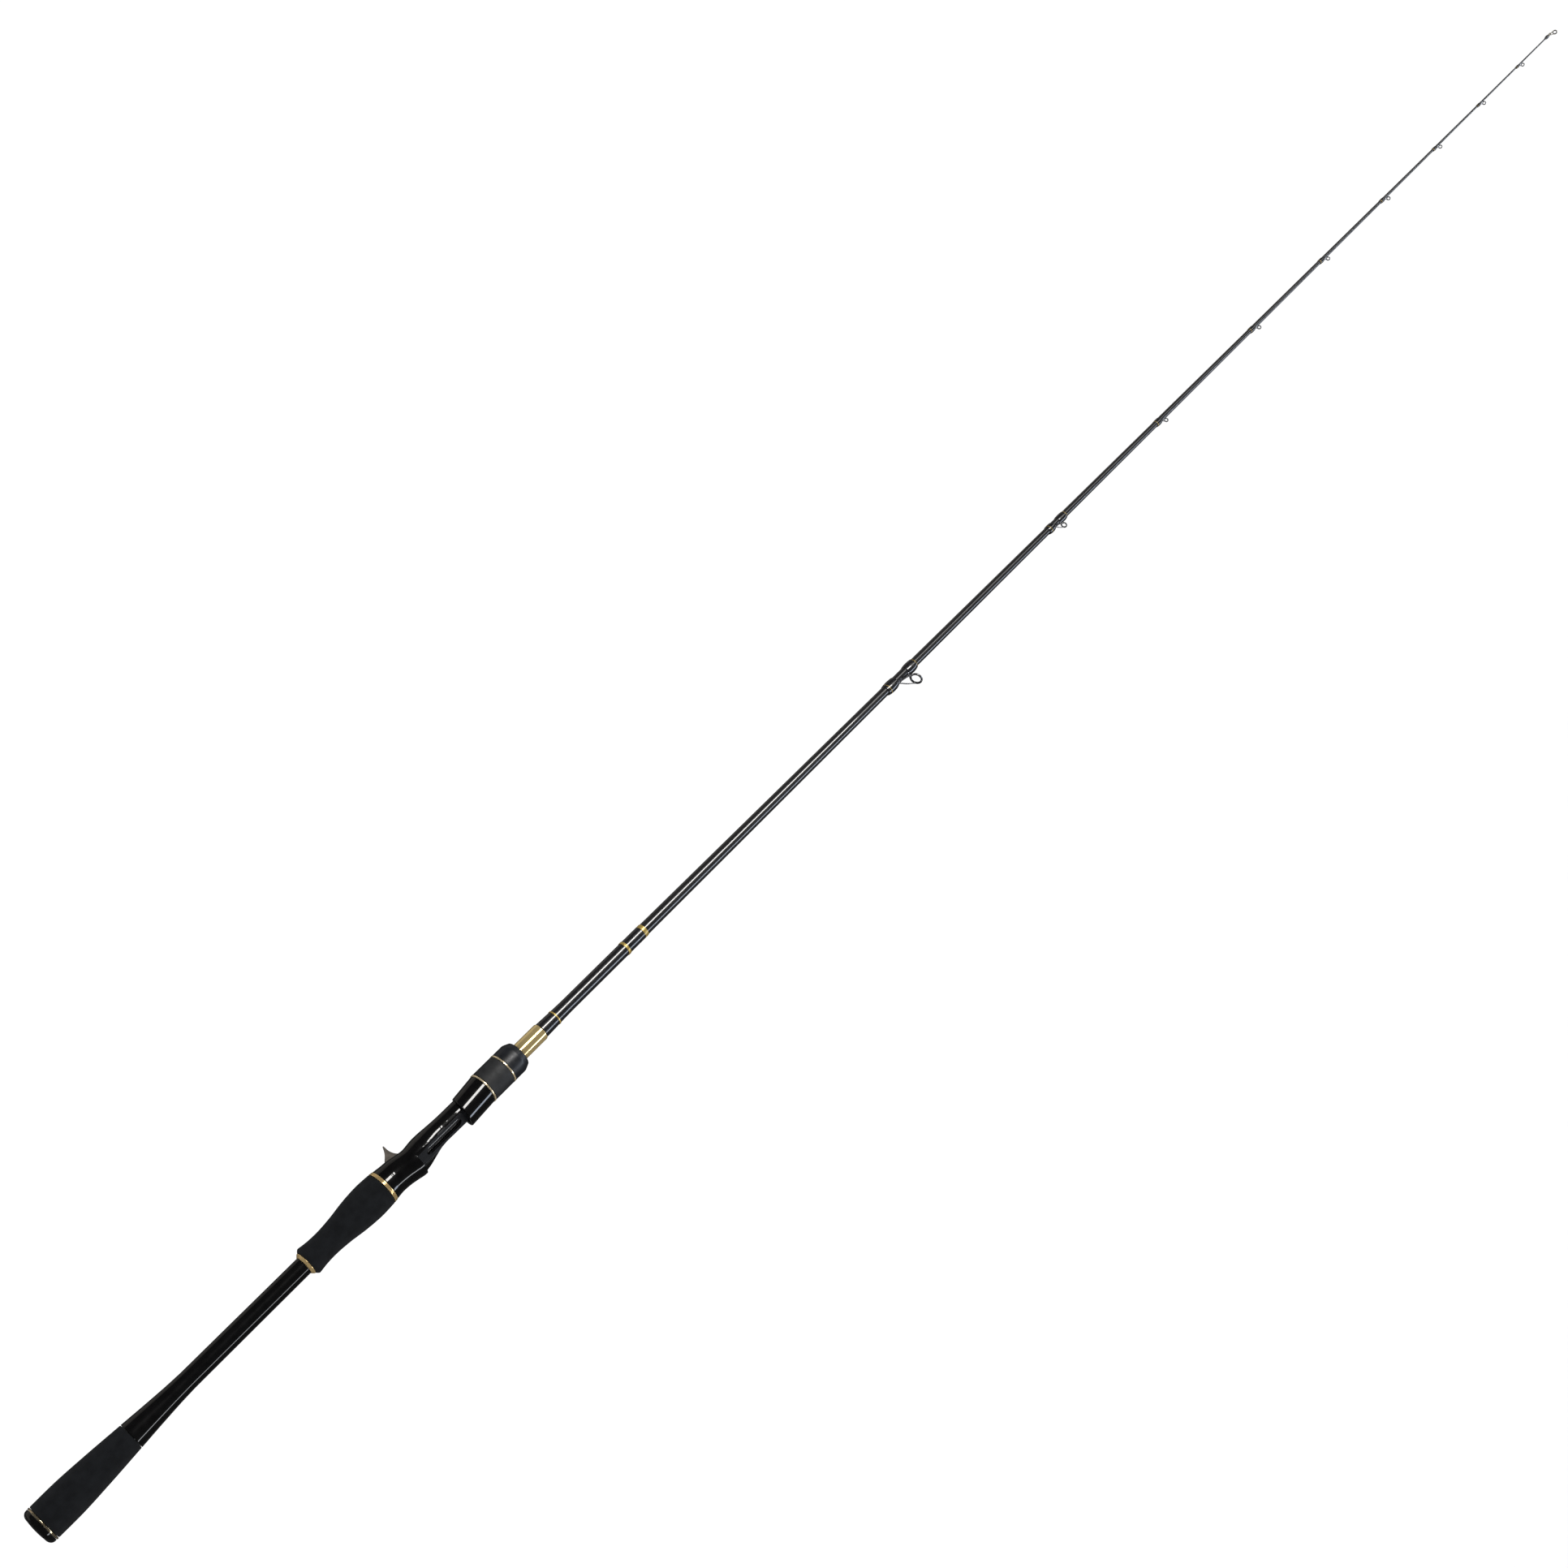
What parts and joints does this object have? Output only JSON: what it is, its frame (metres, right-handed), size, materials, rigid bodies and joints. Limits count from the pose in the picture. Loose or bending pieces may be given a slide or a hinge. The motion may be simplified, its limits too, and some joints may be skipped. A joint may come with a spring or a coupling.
{
  "type": "baitcasting fishing rod",
  "caption": "Casting rod blank with split foam handle, trigger reel seat with screw-down hood, ceramic line guides and tip-top; no reel fitted.",
  "frame": {"origin": "centre of the flat end face of the butt cap", "axes": "+X along the rod to its tip, +Z towards the side that carries the reel and the guides (the trigger points to -Z), +Y completes the right-handed frame"},
  "size_m": [2.4018, 0.0282, 0.0477],
  "materials": {
    "carbon_blank": "carbon tube under a thin clear coat, graphite black",
    "gloss_black": "deep gloss piano black",
    "pale_gold_trim": "turned, pale champagne gold",
    "gold_trim": "turned and gold anodised",
    "eva_foam": "matte closed-cell EVA foam, sanded",
    "trigger_plastic": "satin soft-touch, warm grey",
    "arbor_foam": "rigid foam bushing",
    "spring_steel": "plain spring steel",
    "nut_plastic": "moulded glass-filled nylon",
    "foregrip_band": "satin warm grey sleeve",
    "cap_satin": "satin blue-black",
    "champagne_pipe": "polished champagne gold pipe",
    "label_winding": "gloss clear coat over black thread",
    "guide_frame": "black plated stainless wire and strip",
    "ring_ceramic": "polished dark ceramic",
    "wrap_epoxy": "black thread under a glossy epoxy coat",
    "tip_frame": "grey-gold plated stainless"
  },
  "bodies": {
    "rod": {"butt_cap": "gloss_black", "butt_trim_ring": "pale_gold_trim", "butt_grip": "eva_foam", "rear_sleeve": "gloss_black", "rear_trim_ring": "gold_trim", "mid_grip": "eva_foam", "seat_rear_ring": "gold_trim", "reel_seat_body": "gloss_black", "trigger": "trigger_plastic", "rear_arbor": "arbor_foam", "front_arbor": "arbor_foam", "collar_pipe": "champagne_pipe", "label_winding": "label_winding", "winding_trim_rear": "gold_trim", "winding_trim_mid": "gold_trim", "winding_trim_front": "gold_trim", "blank": "carbon_blank", "guide_1_frame": "guide_frame", "guide_1_ring": "ring_ceramic", "guide_2_frame": "guide_frame", "guide_2_ring": "ring_ceramic", "guide_3_frame": "guide_frame", "guide_3_ring": "ring_ceramic", "guide_4_frame": "guide_frame", "guide_4_ring": "ring_ceramic", "guide_5_frame": "guide_frame", "guide_5_ring": "ring_ceramic", "guide_6_frame": "guide_frame", "guide_6_ring": "ring_ceramic", "guide_7_frame": "guide_frame", "guide_7_ring": "ring_ceramic", "guide_8_frame": "guide_frame", "guide_8_ring": "ring_ceramic", "guide_9_frame": "guide_frame", "guide_9_ring": "ring_ceramic", "guide_1_rear_wrap": "wrap_epoxy", "guide_1_front_wrap": "wrap_epoxy", "guide_2_rear_wrap": "wrap_epoxy", "guide_2_front_wrap": "wrap_epoxy", "guide_3_wrap": "wrap_epoxy", "guide_4_wrap": "wrap_epoxy", "guide_5_wrap": "wrap_epoxy", "guide_6_wrap": "wrap_epoxy", "guide_7_wrap": "wrap_epoxy", "guide_8_wrap": "wrap_epoxy", "guide_9_wrap": "wrap_epoxy", "tip_top_frame": "tip_frame", "tip_top_ring": "ring_ceramic", "tip_top_wrap": "wrap_epoxy"},
    "hood": {"moving_hood": "gloss_black", "snap_ring": "spring_steel"},
    "nut": {"nut_core": "nut_plastic", "hood_trim_ring": "pale_gold_trim", "foregrip_band": "foregrip_band", "nut_trim_ring": "pale_gold_trim", "nut_front_cap": "cap_satin"}
  },
  "joints": [
    {"name": "hood_slide", "type": "slide", "parent": "rod", "child": "hood", "axis": [1, 0, 0], "range_m": [-0.004, 0.012]},
    {"name": "nut_spin", "type": "hinge", "parent": "hood", "child": "nut", "pos_m": [0.412, 0, 0], "axis": [1, 0, 0], "range_deg": [-360, 1080]}
  ],
  "couplings": [
    {"joint": "hood_slide", "follows": "nut_spin", "m_per_rad": 0.00063662}
  ]
}
